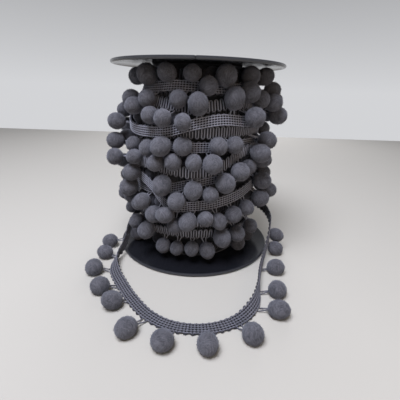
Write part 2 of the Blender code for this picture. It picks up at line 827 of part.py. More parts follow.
def build_edge_strip(name, sections, along, group, bounds):
    """A narrow strip of the tape's ball edge with a group of balls. bounds are its two ends and
    the places halfway between its balls."""
    marks = [bounds[0] + GAP, *bounds[1:-1], bounds[-1] - GAP]
    for ball in group:
        marks += [ball.place - STALK_WIDTH / 2, ball.place + STALK_WIDTH / 2]
    marks.sort()
    marks = sorted(marks + [(a + b) / 2 for a, b in zip(marks, marks[1:]) if b - a > EDGE_STEP])
    half = TAPE_WIDTH / 2
    chosen = [section_at(sections, along, mark) for mark in marks]
    points = strip_of(chosen, half - EDGE_STRIP, half)
    roots = {}
    for ball in group:
        index = marks.index(ball.place - STALK_WIDTH / 2)
        way = ball.centre - ball.root
        below = way @ chosen[index].across > abs(way @ chosen[index].face)
        side = 2 if below else 1 if way @ chosen[index].face > 0 else 3
        roots[(index, side)] = ball
    faces = band_faces(len(marks), skip=roots)
    for (index, side), ball in roots.items():
        here, there = 4 * index + side, 4 * index + (side + 1) % 4
        loop = (here, there, there + 4, here + 4)
        edge = sum(np.array(points[k]) for k in loop) / STALK_SIDES
        centre = rest_on_floor(edge, ball.centre) if ball.rests else ball.centre
        grow_ball(points, faces, loop, edge, centre, BALL_RADIUS)
    add_object(name, points, faces, BALL_YARN)


SEED = 7


def build_trim():
    """The wound body, the outer turns with their settled balls, and the loose length."""
    build_wound_body()
    rng = random.Random(SEED)
    sections, _ = loose_sections()
    balls = {turn.name: balls_of_turn(turn, sections, rng) for turn in TURNS}
    cloud = [point for turn in TURNS for point in tape_cloud(turn)]
    for section in sections:
        for mark in CLOUD_MARKS:
            cloud.append(section.middle + section.across * TAPE_WIDTH * mark)
    settle([ball for group in balls.values() for ball in group], cloud)
    for turn in TURNS:
        build_turn(turn, balls[turn.name])
    build_loose_length()


def main():
    """Clears the scene and builds the whole part."""
    for thing in list(bpy.data.objects):
        bpy.data.objects.remove(thing)
    build_spool()
    build_trim()


main()
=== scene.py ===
"""Pompom fringe trim on a black plastic spool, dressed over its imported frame."""

import math
import random
from typing import NamedTuple

import bmesh
import bpy
import numpy as np
from mathutils import Matrix, Vector
from mathutils.bvhtree import BVHTree


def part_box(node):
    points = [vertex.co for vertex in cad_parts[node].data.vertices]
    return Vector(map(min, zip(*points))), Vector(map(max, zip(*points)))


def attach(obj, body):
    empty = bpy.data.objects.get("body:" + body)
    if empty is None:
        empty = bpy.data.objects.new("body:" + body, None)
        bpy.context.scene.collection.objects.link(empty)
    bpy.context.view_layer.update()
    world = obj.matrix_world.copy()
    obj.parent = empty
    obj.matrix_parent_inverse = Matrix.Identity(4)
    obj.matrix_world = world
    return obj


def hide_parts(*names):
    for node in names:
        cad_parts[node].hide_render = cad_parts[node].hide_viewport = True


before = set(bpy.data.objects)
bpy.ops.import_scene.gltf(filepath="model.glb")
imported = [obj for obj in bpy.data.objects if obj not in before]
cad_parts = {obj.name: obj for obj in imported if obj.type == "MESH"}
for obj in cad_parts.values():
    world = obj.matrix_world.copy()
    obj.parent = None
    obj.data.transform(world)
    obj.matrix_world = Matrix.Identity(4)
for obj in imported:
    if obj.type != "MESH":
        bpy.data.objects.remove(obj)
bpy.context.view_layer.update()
MM = 0.001


# Spool. Two thin discs on a core, injection moulded in black polystyrene, each with a rounded
# bead round the rim that stiffens it. The upper rim has a slit that catches the trim's end.

FLANGE_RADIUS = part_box("spool_base")[1].x
SPOOL_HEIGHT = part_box("spool_top")[1].z
CORE_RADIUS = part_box("spool_core")[1].x
FLANGE_THICK = 2.2 * MM
BEAD = 1.5 * MM  # the radius of the rim's rounded bead
BEAD_BLEND = (1.7, 2.3)  # where it runs out into the flat, from the rim in bead radii
BEAD_EASE = 0.15 * MM  # how far below the bead's top that starts
HUB_GROOVE_INNER = 17 * MM
HUB_GROOVE_OUTER = 19 * MM
HUB_GROOVE_DEPTH = 0.8 * MM
HUB_GROOVE_SLOPE = 0.2 * MM
SLIT_WIDTH = 1.2 * MM
SLIT_DEPTH = 4 * MM
SLIT_TALL = 20 * MM  # the cutter's height, past both faces of the flange
RIM_HIGHLIGHT_WIDTH = 2 * MM  # the width of the greyer edge at the rim, a painted highlight
FLOW_PACE = 900.0  # radians a metre, so that the flow marks are rings 7 mm apart
CLOUD_SCALE = 45.0  # cloudy patches about 22 mm wide
FLANGE_STEPS = 160
CORE_STEPS = 64


def srgb(code):
    """A hex colour as linear RGBA."""
    parts = [int(code[k:k + 2], 16) / 255 for k in (1, 3, 5)]
    linear = [c / 12.92 if c < 0.04045 else ((c + 0.055) / 1.055) ** 2.4 for c in parts]
    return (*linear, 1.0)


def add_node(tree, kind, links=(), **settings):
    """A node with its settings. links maps its inputs to sockets or to plain values."""
    node = tree.nodes.new(kind)
    for name, value in settings.items():
        setattr(node, name, value)
    for name, value in dict(links).items():
        if isinstance(value, bpy.types.NodeSocket):
            tree.links.new(value, node.inputs[name])
        else:
            node.inputs[name].default_value = value
    return node


def new_material(name, **values):
    """A material and its shader, with plain values on the shader's own sockets."""
    made = bpy.data.materials.new(name)
    made.use_nodes = True
    shader = made.node_tree.nodes["Principled BSDF"]
    for socket, value in values.items():
        shader.inputs[socket.replace("_", " ")].default_value = value
    return made, made.node_tree, shader


def moulded_polystyrene():
    """Moulded black polystyrene: a smooth skin that reflects softly, with faint flow marks in
    rings round the gate, and a greyer edge at the bead that is a painted highlight."""
    made, tree, shader = new_material("moulded black polystyrene", IOR=1.59, Specular_IOR_Level=0.5)
    place = add_node(tree, "ShaderNodeTexCoord").outputs["Object"]
    split = add_node(tree, "ShaderNodeSeparateXYZ", {0: place})
    flat = add_node(tree, "ShaderNodeCombineXYZ", {0: split.outputs[0], 1: split.outputs[1]})
    far = add_node(tree, "ShaderNodeVectorMath", {0: flat.outputs[0]}, operation="LENGTH")
    rings = add_node(
        tree, "ShaderNodeMath", {0: far.outputs["Value"], 1: FLOW_PACE}, operation="MULTIPLY"
    )
    wave = add_node(tree, "ShaderNodeMath", {0: rings.outputs[0]}, operation="SINE")
    cloudy = add_node(tree, "ShaderNodeTexNoise", {"Vector": place, "Scale": CLOUD_SCALE, "Detail": 4.0})
    # the greyer edge at the rim is a painted highlight
    rim_highlight = add_node(
        tree, "ShaderNodeMapRange",
        {"Value": far.outputs["Value"], "From Min": FLANGE_RADIUS - RIM_HIGHLIGHT_WIDTH, "From Max": FLANGE_RADIUS},
    )
    tint = add_node(
        tree, "ShaderNodeMix",
        {"Factor": rim_highlight.outputs[0], 6: srgb("#1b1c21"), 7: srgb("#2d2e32")},
        data_type="RGBA",
    )
    rough = add_node(
        tree, "ShaderNodeMapRange",
        {"Value": cloudy.outputs[0], "From Min": 0.3, "From Max": 0.7, "To Min": 0.13, "To Max": 0.24},
    )
    marks = add_node(
        tree, "ShaderNodeMath", {0: wave.outputs[0], 1: cloudy.outputs[0]}, operation="MULTIPLY"
    )
    bump = add_node(
        tree, "ShaderNodeBump", {"Height": marks.outputs[0], "Strength": 0.06, "Distance": 0.2 * MM}
    )
    tree.links.new(tint.outputs[2], shader.inputs["Base Color"])
    tree.links.new(rough.outputs[0], shader.inputs["Roughness"])
    tree.links.new(bump.outputs[0], shader.inputs["Normal"])
    return made


def new_object(name, data):
    """An object in the scene."""
    made = bpy.data.objects.new(name, data)
    bpy.context.scene.collection.objects.link(made)
    return made


def add_piece(name, mesh, finish, smooth=True):
    """A mesh as a piece that rides on the one body."""
    piece = new_object(name, mesh)
    if finish:
        mesh.materials.clear()
        mesh.materials.append(finish)
    if smooth:
        mesh.shade_smooth()
    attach(piece, "root")
    return piece


def mesh_from(name, points, faces):
    """A mesh whose faces point outwards."""
    mesh = bpy.data.meshes.new(name)
    mesh.from_pydata([tuple(p) for p in points], [], faces)
    work = bmesh.new()
    work.from_mesh(mesh)
    bmesh.ops.remove_doubles(work, verts=work.verts, dist=1e-6)
    bmesh.ops.recalc_face_normals(work, faces=work.faces)
    work.to_mesh(mesh)
    work.free()
    return mesh


def turned_mesh(name, profile, steps):
    """A closed profile of (radius, height), from axis to axis, turned about Z."""
    points, faces = [], []
    for i in range(steps):
        a = 2 * math.pi * i / steps
        points += [(r * math.cos(a), r * math.sin(a), z) for r, z in profile]
    n = len(profile)
    for i in range(steps):
        j = (i + 1) % steps
        for k in range(n - 1):
            faces.append((i * n + k, j * n + k, j * n + k + 1, i * n + k + 1))
    return mesh_from(name, points, faces)


def flange_profile(outer, inward, hub):
    """Outline from the axis along the outer face, round the bead in steps of 15 degrees, and back
    inside."""
    outline = [(0, 0), *hub, (FLANGE_RADIUS - 2 * BEAD, 0)]
    for k in range(13):
        a = math.radians(-90 + 15 * k)
        outline.append((FLANGE_RADIUS - BEAD + BEAD * math.cos(a), BEAD + BEAD * math.sin(a)))
    outline += [
        (FLANGE_RADIUS - BEAD_BLEND[0] * BEAD, 2 * BEAD - BEAD_EASE),
        (FLANGE_RADIUS - BEAD_BLEND[1] * BEAD, FLANGE_THICK),
        (FLANGE_RADIUS * 0.6, FLANGE_THICK),  # keeps the blend's soft shading off the middle
        (0, FLANGE_THICK),
    ]
    return [(r, outer + inward * z) for r, z in outline]


def evaluated_mesh(thing):
    """The thing's mesh with its modifiers applied."""
    bpy.context.view_layer.update()
    graph = bpy.context.evaluated_depsgraph_get()
    return bpy.data.meshes.new_from_object(thing.evaluated_get(graph))


def cut_slit(piece):
    """The slit in the upper rim, cut at the front."""
    bpy.ops.mesh.primitive_cube_add(size=1)
    cutter = bpy.context.object
    cutter.scale = (SLIT_WIDTH, 2 * SLIT_DEPTH, SLIT_TALL)
    cutter.location = (0, -FLANGE_RADIUS, SPOOL_HEIGHT)
    cut = piece.modifiers.new("slit", "BOOLEAN")
    cut.operation = "DIFFERENCE"
    cut.object = cutter
    done = evaluated_mesh(piece)
    piece.modifiers.clear()
    piece.data = done
    bpy.data.objects.remove(cutter)


spool_plastic = moulded_polystyrene()
groove = [
    (HUB_GROOVE_INNER, 0),
    (HUB_GROOVE_INNER + HUB_GROOVE_SLOPE, HUB_GROOVE_DEPTH),
    (HUB_GROOVE_OUTER - HUB_GROOVE_SLOPE, HUB_GROOVE_DEPTH),
    (HUB_GROOVE_OUTER, 0),
]
base_flange = add_piece(
    "base_flange",
    turned_mesh("base_flange", flange_profile(0, 1, []), FLANGE_STEPS),
    spool_plastic,
)
top_flange = add_piece(
    "top_flange",
    turned_mesh("top_flange", flange_profile(SPOOL_HEIGHT, -1, groove), FLANGE_STEPS),
    spool_plastic,
)
cut_slit(top_flange)
for flange in (base_flange, top_flange):
    flange.data.set_sharp_from_angle(angle=math.radians(40))
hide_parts("spool_base")
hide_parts("spool_top")
core_low, core_high = (corner.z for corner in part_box("spool_core"))
core_profile = [(0, core_low), (CORE_RADIUS, core_low), (CORE_RADIUS, core_high), (0, core_high)]
core = add_piece(
    "core_tube", turned_mesh("core_tube", core_profile, CORE_STEPS), spool_plastic,
    smooth=False,
)
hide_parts("spool_core")


# Tape. A narrow gimp braid of polyester yarn: a weft that runs back and forth across it, turning
# at each edge in a round loop, held by rows of chain stitch along its length. One face shows the
# weft's ribs, the other a grid of chains. Each outer turn wraps the roll.

TAPE_WIDTH = 10.8 * MM
TAPE_THICK = 1.6 * MM
HAIRPIN = 4.9 * MM  # along the tape, for the weft's way across it and back
RIB_RADIUS = 0.78 * MM  # the weft's yarn where its ribs show
WEFT_RADIUS = 0.6 * MM  # and where it is drawn tight under the chains
CHAIN_RADIUS = 0.29 * MM
CHAIN_ROWS = 5
CHAIN_EDGE = 1.5 * MM  # from the tape's edge to its outer row of chains
CHAIN_SWING = 0.3 * MM  # how far the two legs of a chain swing to each side
CHAIN_LIFT = 0.5 * MM  # how high the chains lie on the weft
CHAIN_DIP = 0.35 * MM  # how deep they sink between its passes
WEFT_LIFT = 0.15 * MM  # the weft's height over the tape's middle
BEND_DIP = 0.3 * MM  # how far its round loops lie below its ribs
HEIGHT_POWER = 1.7  # how fast the painted shade darkens a yarn below its crown
PLY_SCALE = 230.0  # slanted lines 1.6 mm apart
MOTTLE_SCALE = 260.0  # patches about 3.8 mm wide
GROUND_STEP = 1.4 * MM
GROUND_WIDTH = 8.6 * MM
TURNS = [f"turn_{k:02}" for k in range(1, 11)]
CHAIN_FACE_OUT = ("turn_01", "turn_03", "turn_05", "turn_07", "turn_08")
TURN_POINTS = 721
CORNER_SLIP = 0.03 * MM  # how far a corner may lie from where its section says
ANGLE_SLIP = 0.03  # and the same in degrees round the roll


class Route(NamedTuple):
    """A tape's way: distance along it, the place of its middle, the unit direction across it
    towards its ball edge, and the unit direction out of its face."""

    along: np.ndarray
    place: np.ndarray
    across: np.ndarray
    face: np.ndarray


def knit_yarn(name, light, dark):
    """Crochet polyester yarn: matt, with painted shade that darkens it from the crowns of its loops
    down between them, and the twist of its plies as slanted lines. They are drawn coarser than the
    real plies, so that they show."""
    made, tree, shader = new_material(
        name, Roughness=0.85, Sheen_Weight=0.35, Sheen_Roughness=0.5, Sheen_Tint=srgb("#c9cad6"),
    )
    place = add_node(tree, "ShaderNodeTexCoord").outputs["Object"]
    height = add_node(tree, "ShaderNodeAttribute", attribute_name="height").outputs["Fac"]
    mottle = add_node(tree, "ShaderNodeTexNoise", {"Vector": place, "Scale": MOTTLE_SCALE, "Detail": 3.0})
    shade = add_node(tree, "ShaderNodeMath", {0: mottle.outputs[0], 1: 0.35}, operation="MULTIPLY")
    # painted shade: the lower a point lies on the yarn, the darker its colour
    lift = add_node(tree, "ShaderNodeMath", {0: shade.outputs[0], 1: height}, operation="ADD")
    ramp = add_node(
        tree, "ShaderNodeMapRange", {"Value": lift.outputs[0], "From Min": 0.15, "From Max": 1.1}
    )
    tint = add_node(
        tree, "ShaderNodeMix", {"Factor": ramp.outputs[0], 6: srgb(dark), 7: srgb(light)},
        data_type="RGBA",
    )
    plies = add_node(
        tree, "ShaderNodeTexWave",
        {"Vector": place, "Scale": PLY_SCALE, "Distortion": 2.5, "Detail": 2.0, "Detail Scale": 2.0},
        bands_direction="DIAGONAL",
    )
    bump = add_node(
        tree, "ShaderNodeBump", {"Height": plies.outputs["Fac"], "Strength": 0.35, "Distance": 0.15 * MM}
    )
    tree.links.new(tint.outputs[2], shader.inputs["Base Color"])
    tree.links.new(bump.outputs[0], shader.inputs["Normal"])
    return made


def add_tree(name, inputs):
    """An empty Geometry Nodes tree with named inputs, and its two end nodes."""
    tree = bpy.data.node_groups.new(name, "GeometryNodeTree")
    tree.interface.new_socket("Geometry", in_out="INPUT", socket_type="NodeSocketGeometry")
    for label, kind in inputs:
        tree.interface.new_socket(label, in_out="INPUT", socket_type="NodeSocket" + kind)
    tree.interface.new_socket("Geometry", in_out="OUTPUT", socket_type="NodeSocketGeometry")
    return tree, tree.nodes.new("NodeGroupInput"), tree.nodes.new("NodeGroupOutput")


def run_tree(thing, tree, values):
    """The mesh that a tree makes of a thing, with the tree's named inputs set."""
    modifier = thing.modifiers.new(tree.name, "NODES")
    modifier.node_group = tree
    for item in tree.interface.items_tree:
        if item.item_type == "SOCKET" and item.in_out == "INPUT" and item.name in values:
            modifier[item.identifier] = values[item.name]
    mesh = evaluated_mesh(thing)
    thing.modifiers.remove(modifier)
    return mesh


def stitch_row_tree():
    """Sweeps a yarn along one stitch's path and repeats it along X."""
    tree, given, result = add_tree("row of stitches", [
        ("Yarn Radius", "Float"), ("Sides", "Int"), ("Pitch", "Float"), ("Count", "Int"),
        ("Finish", "Material"),
    ])
    ring = add_node(
        tree, "GeometryNodeCurvePrimitiveCircle",
        {"Resolution": given.outputs["Sides"], "Radius": given.outputs["Yarn Radius"]},
    )
    yarn = add_node(
        tree, "GeometryNodeCurveToMesh",
        {"Curve": given.outputs["Geometry"], "Profile Curve": ring.outputs[0]},
    )
    step = add_node(tree, "ShaderNodeCombineXYZ", {0: given.outputs["Pitch"]})
    line = add_node(
        tree, "GeometryNodeMeshLine", {"Count": given.outputs["Count"], "Offset": step.outputs[0]}
    )
    placed = add_node(
        tree, "GeometryNodeInstanceOnPoints", {"Points": line.outputs[0], "Instance": yarn.outputs[0]}
    )
    real = add_node(tree, "GeometryNodeRealizeInstances", {0: placed.outputs[0]})
    joined = add_node(
        tree, "GeometryNodeMergeByDistance", {"Geometry": real.outputs[0], "Distance": 0.01 * MM}
    )
    finished = add_node(
        tree, "GeometryNodeSetMaterial",
        {"Geometry": joined.outputs[0], "Material": given.outputs["Finish"]},
    )
    tree.links.new(finished.outputs[0], result.inputs[0])
    return tree


def path_object(paths):
    """A curve object with one open poly spline for each path."""
    curve = bpy.data.curves.new("path", "CURVE")
    curve.dimensions = "3D"
    for path in paths:
        spline = curve.splines.new("POLY")
        spline.points.add(len(path) - 1)
        for point, place in zip(spline.points, path):
            point.co = (*place, 1)
    return new_object("path", curve)


def weft_path(radius):
    """One hairpin of the weft: up across the tape, round, down across it and round again."""
    apart = HAIRPIN / 4
    reach = TAPE_WIDTH / 2 - radius - apart
    bends = [math.radians(a) for a in (30, 60, 90, 120, 150)]
    over = [(-apart * math.cos(a), reach + apart * math.sin(a)) for a in bends]
    under = [(2 * apart - apart * math.cos(a), -reach - apart * math.sin(a)) for a in bends]
    flat = [
        (-apart, 0), (-apart, reach), *over, (apart, reach),
        (apart, -reach), *under, (3 * apart, -reach), (3 * apart, 0),
    ]
    return [(x, y, WEFT_LIFT - BEND_DIP * (abs(y) > reach)) for x, y in flat]


def chain_paths():
    """The two legs of each row of chains: they cross between the weft's passes and rise over
    each pass."""
    legs = []
    span = TAPE_WIDTH / 2 - CHAIN_EDGE
    marks = [k / 8 for k in range(9)]
    for row in range(CHAIN_ROWS):
        middle = -span + 2 * span * row / (CHAIN_ROWS - 1)
        for side in (-1, 1):
            legs.append([
                (
                    HAIRPIN * t,
                    middle + side * CHAIN_SWING * math.sin(4 * math.pi * t),
                    WEFT_LIFT + CHAIN_LIFT - CHAIN_DIP * math.cos(4 * math.pi * t) ** 3 / 2,
                )
                for t in marks
            ])
    return legs


def lay_on(route, mesh, crown=TAPE_THICK / 2):
    """Bends a flat mesh, with X along the tape and Y across it, onto a route, and notes how high
    each point lies, from 0 in the tape's middle to 1 on its crown."""
    flat = np.empty(len(mesh.vertices) * 3)
    mesh.vertices.foreach_get("co", flat)
    flat = flat.reshape(-1, 3)

    def at(rows):
        return np.stack([np.interp(flat[:, 0], route.along, rows[:, k]) for k in range(3)], axis=1)

    bent = at(route.place) + at(route.across) * flat[:, 1:2] + at(route.face) * flat[:, 2:3]
    height = mesh.attributes.new("height", "FLOAT", "POINT")
    share = np.clip(np.abs(flat[:, 2]) / crown, 0, 1)
    height.data.foreach_set("value", (share ** HEIGHT_POWER).astype(np.float32))
    mesh.vertices.foreach_set("co", bent.ravel())
    mesh.update()
    return mesh


def join_meshes(name, meshes):
    """Several meshes as one, with their height attribute kept."""
    work = bmesh.new()
    for mesh in meshes:
        work.from_mesh(mesh)
    joined = bpy.data.meshes.new(name)
    work.to_mesh(joined)
    work.free()
    return joined


stitch_row = stitch_row_tree()


def stitches(name, route, finish, chains=False, sides=5):
    """The yarn of a tape: its weft, and its chains over it where they show."""
    count = max(1, round(route.along[-1] / HAIRPIN))
    fit = route.along[-1] / (count * HAIRPIN)
    made = []
    weft_radius = WEFT_RADIUS if chains else RIB_RADIUS
    layers = [([weft_path(weft_radius)], weft_radius, sides)]
    crown = WEFT_LIFT + (CHAIN_LIFT + CHAIN_RADIUS if chains else RIB_RADIUS)
    if chains:
        layers.append((chain_paths(), CHAIN_RADIUS, 4))
    for paths, radius, around in layers:
        thing = path_object(paths)
        mesh = run_tree(thing, stitch_row, {
            "Yarn Radius": radius, "Sides": around, "Pitch": HAIRPIN, "Count": count,
            "Finish": finish,
        })
        mesh.transform(Matrix.Diagonal((fit, 1, 1, 1)))
        made.append(lay_on(route, mesh, crown))
        bpy.data.objects.remove(thing)
    return join_meshes(name, made)


def ground_sheet(name, route):
    """The tape's middle as one thin sheet, which the yarn runs round."""
    columns = (-0.5, -0.25, 0, 0.25, 0.5)
    steps = max(8, round(route.along[-1] / GROUND_STEP))
    points, faces, n = [], [], len(columns)
    for i in range(steps + 1):
        x = route.along[-1] * i / steps
        points += [(x, GROUND_WIDTH * c, 0) for c in columns]
    for i in range(steps):
        for k in range(n - 1):
            a = i * n + k
            faces.append((a, a + n, a + n + 1, a + 1))
    mesh = bpy.data.meshes.new(name)
    mesh.from_pydata(points, [], faces)
    return lay_on(route, mesh)


def corners_of(node):
    """A CAD node's corners, each once, and the corners next to each."""
    work = bmesh.new()
    work.from_mesh(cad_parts[node].data)
    bmesh.ops.remove_doubles(work, verts=work.verts, dist=1e-5)
    places = np.array([v.co[:] for v in work.verts])
    work.verts.index_update()
    beside = [[e.other_vert(v).index for e in v.link_edges] for v in work.verts]
    work.free()
    return places, beside


def cubic_through(keys, values, at):
    """A smooth curve through values at keys, read at each place in at."""
    slopes = np.gradient(values, keys)
    left = np.clip(np.searchsorted(keys, at) - 1, 0, len(keys) - 2)
    span = keys[left + 1] - keys[left]
    t = np.clip((at - keys[left]) / span, 0, 1)
    rise = values[left + 1] - values[left]
    start, end = slopes[left] * span, slopes[left + 1] * span
    return values[left] + rise * t + t * (1 - t) * ((start - rise) * (1 - t) - (end - rise) * t)


def cubic_ring(keys, values, at):
    """A smooth closed curve through values at keys in degrees, read at each angle in at."""
    return cubic_through(np.concatenate([keys - 360, keys, keys + 360]), np.tile(values, 3), at)


def turn_route(node):
    """A turn's route, read from the four corners of each section of its CAD ring: two on its
    inner side, a tape's width apart in height, and two further out by the tape's thickness."""
    places, _ = corners_of(node)
    azimuth = np.degrees(np.arctan2(places[:, 0], -places[:, 1]))
    radius, height = np.hypot(places[:, 0], places[:, 1]), places[:, 2]
    pairs = []
    for i in range(len(places)):
        above = (np.abs(height - height[i] - TAPE_WIDTH) < CORNER_SLIP) & (
            np.abs(azimuth - azimuth[i]) < ANGLE_SLIP
        )
        pairs += [(azimuth[i], radius[i], radius[j], height[i]) for j in np.flatnonzero(above)]
    pairs = np.array(pairs)
    found = {}
    for a, low, high, z in pairs:
        outer = (
            (np.abs(pairs[:, 0] - a) < ANGLE_SLIP)
            & (np.abs(pairs[:, 1] - low - TAPE_THICK) < CORNER_SLIP)
            & (np.abs(pairs[:, 2] - high - TAPE_THICK) < CORNER_SLIP)
        )
        if outer.any():
            found[round(a, 1)] = (a, low + TAPE_THICK / 2, high + TAPE_THICK / 2, z + TAPE_WIDTH / 2)
    rows = np.array([found[a] for a in sorted(found)])
    at = np.linspace(-180, 180, TURN_POINTS)
    low, high, middle = (cubic_ring(rows[:, 0], rows[:, k], at) for k in (1, 2, 3))
    a = np.radians(at)
    out = np.stack([np.sin(a), -np.cos(a), 0 * a], axis=1)
    up = np.array([0, 0, 1.0])
    place = out * ((low + high) / 2)[:, None] + up * middle[:, None]
    across = out * (low - high)[:, None] - up * TAPE_WIDTH
    return finished_route(place, across, out)


def finished_route(place, across, face):
    """A route from places and rough directions: it squares them up and measures its length."""
    across = across / np.linalg.norm(across, axis=1)[:, None]
    face = face - across * (face * across).sum(axis=1)[:, None]
    face = face / np.linalg.norm(face, axis=1)[:, None]
    steps = np.linalg.norm(np.diff(place, axis=0), axis=1)
    return Route(np.concatenate([[0], np.cumsum(steps)]), place, across, face)


tape_yarn = knit_yarn("crochet polyester tape", "#9495a1", "#141417")
# The ground is near black: painted shade for the gaps between the yarn.
ground_in_painted_shade = knit_yarn("crochet polyester ground", "#161618", "#0a0a0b")
routes = {node: turn_route(node) for node in TURNS}
for node in TURNS:
    number = node[-2:]
    route = routes[node]
    ground = add_piece(f"tape_{number}", ground_sheet(f"tape_{number}", route), ground_in_painted_shade)
    relief = add_piece(
        f"tape_{number}_yarn",
        stitches(f"tape_{number}_yarn", route, tape_yarn, chains=node in CHAIN_FACE_OUT),
        tape_yarn,
    )
    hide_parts(node)


# Pompoms. Dense balls of cut polyester yarn, steamed and trimmed to 15 mm, some pressed oval by
# the winding. Each hangs from the tape's edge on a stalk of two yarn strands.

BALL_RADIUS = 7.4 * MM
BALL_SIZES = (0.9, 1.16)  # the least and the most that a ball's radius is, as shares of usual
BALL_SIDES, POLE_ANGLE = 6, math.radians(45)
BALL_STRETCH = (1.0, 1.16)  # along the stalk
BALL_GIRTH = (0.93, 1.05)
POLE_SLIP = 0.1 * MM  # how far the edges at a ball's pole may differ in length
STRAND_RADIUS = 0.52 * MM
STRAND_SPREAD = 2.1 * MM  # how far each strand stands from the stalk's middle at the tape
STRAND_DRAW = 0.9  # the share of that spread which is left at the tape's edge
STALK_ROOT = 1.2 * MM  # how far a stalk's strands run into the tape
STALK_END = 0.7  # where they end in the ball, as a share of its radius
STALK_TONE = 0.75  # where the stalks sit in the yarn's painted shade, between its dark (0) and light (1) colours
STALK_REACH = 34 * MM  # how far from a ball's centre its root is looked for, and in what steps
STALK_STEP = 1 * MM
FIBRE_LENGTH = 1.1 * MM
FIBRE_WIDTH = 0.13 * MM
FIBRE_LEAN = 0.9  # radians, the most that a fibre leans from the surface's normal
FIBRES_PER_BALL = 260
LUMP_HEIGHT = 0.35 * MM
LUMP_SCALE = 220.0  # lumps about 4.5 mm wide
TUFT_SCALE = 900.0  # tufts about 1.1 mm wide and three times as long
PATCH_SCALE = 150.0  # lighter and darker patches about 7 mm wide
SWIRL_SCALE = 70.0  # bends in the tufts' lie, about 14 mm apart
SWIRL = 20 * MM  # the most that those bends shift the tufts along each axis


class Ball(NamedTuple):
    """A yarn ball's centre, the unit direction away from its stalk, and its radius."""

    centre: np.ndarray
    away: np.ndarray
    radius: float


def balls_of(node):
    """A CAD node's balls, read from their far poles: corners with six like edges."""
    places, beside = corners_of(node)
    least, most = (BALL_RADIUS * share for share in BALL_SIZES)
    found = []
    for i, ring in enumerate(beside):
        edges = np.linalg.norm(places[ring] - places[i], axis=1)
        radius = float(edges.mean()) / (2 * math.sin(POLE_ANGLE / 2))
        if len(ring) == BALL_SIDES and np.ptp(edges) < POLE_SLIP and least < radius < most:
            away = places[i] - places[ring].mean(axis=0)
            away /= np.linalg.norm(away)
            found.append(Ball(places[i] - away * radius, away, radius))
    return found


def cut_yarn_ball(name, light, dark):
    """Cut yarn packed into a ball: a felt-like matt pile with a soft bright edge, faintly streaked
    along the yarn's lie, and painted darker where tufts part, as shade in the gaps between them."""
    made, tree, shader = new_material(
        name, Roughness=1.0, Specular_IOR_Level=0.1,
        Sheen_Weight=0.3, Sheen_Roughness=0.55, Sheen_Tint=srgb("#c6c9d8"),
    )
    place = add_node(tree, "ShaderNodeTexCoord").outputs["Object"]
    swirl = add_node(tree, "ShaderNodeTexNoise", {"Vector": place, "Scale": SWIRL_SCALE, "Detail": 1.0})
    bent = add_node(
        tree, "ShaderNodeVectorMath",
        {0: swirl.outputs["Color"], 1: (SWIRL, SWIRL, SWIRL), 2: place}, operation="MULTIPLY_ADD",
    )
    lie = add_node(tree, "ShaderNodeMapping", {"Vector": bent.outputs[0], "Scale": (1.0, 1.0, 0.3)})
    tufts = add_node(
        tree, "ShaderNodeTexNoise",
        {"Vector": lie.outputs[0], "Scale": TUFT_SCALE, "Detail": 4.0, "Roughness": 0.65},
    )
    patches = add_node(tree, "ShaderNodeTexNoise", {"Vector": place, "Scale": PATCH_SCALE, "Detail": 2.0})
    # the tufts' valleys are painted darker as shade, over lighter and darker patches of tone
    both = add_node(
        tree, "ShaderNodeMath", {0: patches.outputs[0], 1: 0.4, 2: tufts.outputs[0]},
        operation="MULTIPLY_ADD",
    )
    ramp = add_node(
        tree, "ShaderNodeMapRange", {"Value": both.outputs[0], "From Min": 0.4, "From Max": 1.0}
    )
    tint = add_node(
        tree, "ShaderNodeMix",
        {"Factor": ramp.outputs[0], 6: srgb(dark), 7: srgb(light)}, data_type="RGBA",
    )
    bump = add_node(
        tree, "ShaderNodeBump", {"Height": tufts.outputs[0], "Strength": 0.7, "Distance": 0.4 * MM}
    )
    tree.links.new(tint.outputs[2], shader.inputs["Base Color"])
    tree.links.new(bump.outputs[0], shader.inputs["Normal"])
    return made


